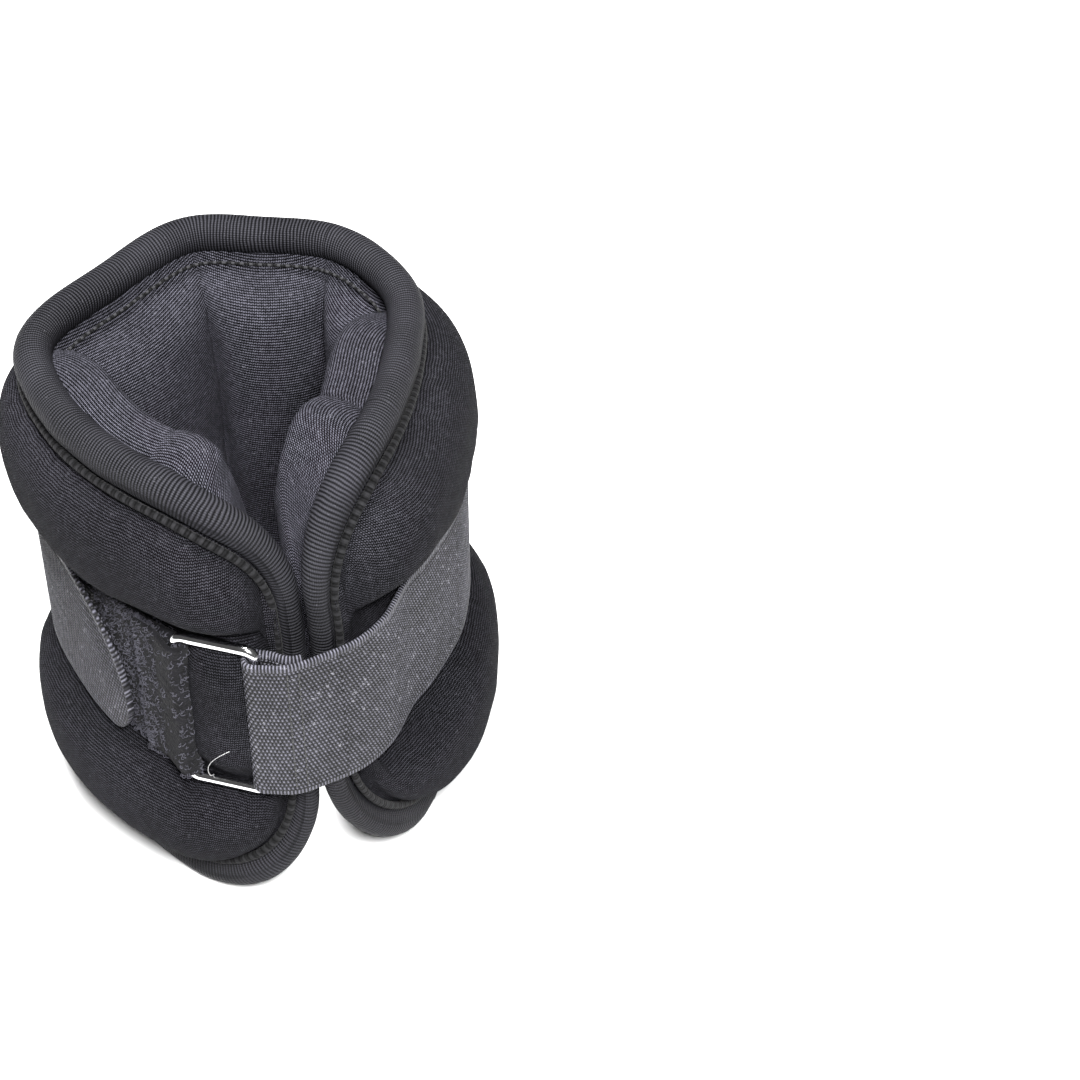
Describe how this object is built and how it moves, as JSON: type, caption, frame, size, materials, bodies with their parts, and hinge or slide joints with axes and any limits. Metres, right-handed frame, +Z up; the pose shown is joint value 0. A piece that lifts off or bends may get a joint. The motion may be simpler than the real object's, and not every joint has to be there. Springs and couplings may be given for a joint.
{
  "type": "ankle cuff weight",
  "caption": "Padded ankle cuff weight: sewn channels of iron sand with a rolled rim, closed by a webbing strap from a wire ring that sticks to a loop-pile band.",
  "frame": {"origin": "centre of the whole object's outline, on the surface it stands on", "axes": "+Z up along the leg's axis, +Y from the closure towards the back of the cuff, +X towards the side that the strap runs along first"},
  "size_m": [0.1398, 0.1507, 0.149],
  "materials": {
    "cover": "fine knit neoprene, charcoal",
    "lining": "soft brushed knit, slate grey",
    "rim": "rolled knit binding, charcoal",
    "pouch": "plain sewn pouch of iron sand",
    "webbing": "woven webbing, dark grey",
    "pile": "curly loop pile, black",
    "hook": "moulded hooks, black",
    "label": "blank woven label, dark navy",
    "chrome": "polished wire"
  },
  "bodies": {
    "cuff_left": {"left_end_cover": "cover", "left_end_lining": "lining", "left_end_weight_pouch": "pouch", "left_end_rim": "rim", "left_front_cover": "cover", "left_front_lining": "lining", "left_front_weight_pouch": "pouch", "left_front_upper_rim": "rim", "left_front_lower_rim": "rim", "left_side_cover": "cover", "left_side_lining": "lining", "left_side_weight_pouch": "pouch", "left_side_upper_rim": "rim", "left_side_lower_rim": "rim", "loop_pile_band": "pile"},
    "cuff_back": {"back_cover": "cover", "back_lining": "lining", "back_weight_pouch": "pouch", "back_upper_rim": "rim", "back_lower_rim": "rim", "right_back_cover": "cover", "right_back_lining": "lining", "right_back_weight_pouch": "pouch", "right_back_upper_rim": "rim", "right_back_lower_rim": "rim"},
    "cuff_right": {"right_side_cover": "cover", "right_side_lining": "lining", "right_side_weight_pouch": "pouch", "right_side_upper_rim": "rim", "right_side_lower_rim": "rim", "right_end_cover": "cover", "right_end_lining": "lining", "right_end_weight_pouch": "pouch", "right_end_rim": "rim"},
    "ring": {"ring": "chrome"},
    "strap_front": {"strap_front": "webbing"},
    "strap_right": {"strap_right": "webbing"},
    "strap_back": {"strap_back": "webbing", "label_patch": "label"},
    "strap_left": {"strap_left": "webbing"},
    "strap_tip": {"strap_tip": "webbing", "hook_patch": "hook"}
  },
  "joints": [
    {"name": "cuff_back_opens", "type": "hinge", "parent": "cuff_left", "child": "cuff_back", "pos_m": [-0.02682, 0.07462, 0.0745], "axis": [0, 0, 1], "range_deg": [0, 24]},
    {"name": "cuff_right_opens", "type": "hinge", "parent": "cuff_back", "child": "cuff_right", "pos_m": [0.06906, 0.03013, 0.0745], "axis": [0, 0, 1], "range_deg": [0, 14]},
    {"name": "ring_swings", "type": "hinge", "parent": "cuff_left", "child": "ring", "pos_m": [-0.01594, -0.06413, 0.0745], "axis": [0, 0, -1], "range_deg": [0, 56]},
    {"name": "strap_front_swings", "type": "hinge", "parent": "ring", "child": "strap_front", "pos_m": [0.00612, -0.07062, 0.0745], "axis": [0, 0, -1], "range_deg": [0, 16]},
    {"name": "strap_right_unwraps", "type": "hinge", "parent": "strap_front", "child": "strap_right", "pos_m": [0.04264, -0.04985, 0.0745], "axis": [0, 0, -1], "range_deg": [0, 10]},
    {"name": "strap_back_unwraps", "type": "hinge", "parent": "strap_right", "child": "strap_back", "pos_m": [0.05844, 0.03099, 0.0745], "axis": [0, 0, -1], "range_deg": [0, 92]},
    {"name": "strap_left_unwraps", "type": "hinge", "parent": "strap_back", "child": "strap_left", "pos_m": [-0.02069, 0.06692, 0.0745], "axis": [0, 0, -1], "range_deg": [0, 94]},
    {"name": "strap_tip_peels", "type": "hinge", "parent": "strap_left", "child": "strap_tip", "pos_m": [-0.06378, 0.00095, 0.0745], "axis": [0, 0, -1], "range_deg": [0, 75]}
  ],
  "couplings": [
    {"joint": "cuff_right_opens", "follows": "cuff_back_opens", "ratio": 0.583},
    {"joint": "ring_swings", "follows": "cuff_back_opens", "ratio": 2.333},
    {"joint": "strap_front_swings", "follows": "cuff_back_opens", "ratio": 0.666},
    {"joint": "strap_right_unwraps", "follows": "cuff_back_opens", "ratio": 0.416},
    {"joint": "strap_back_unwraps", "follows": "cuff_back_opens", "ratio": 3.833},
    {"joint": "strap_left_unwraps", "follows": "cuff_back_opens", "ratio": 3.916}
  ]
}
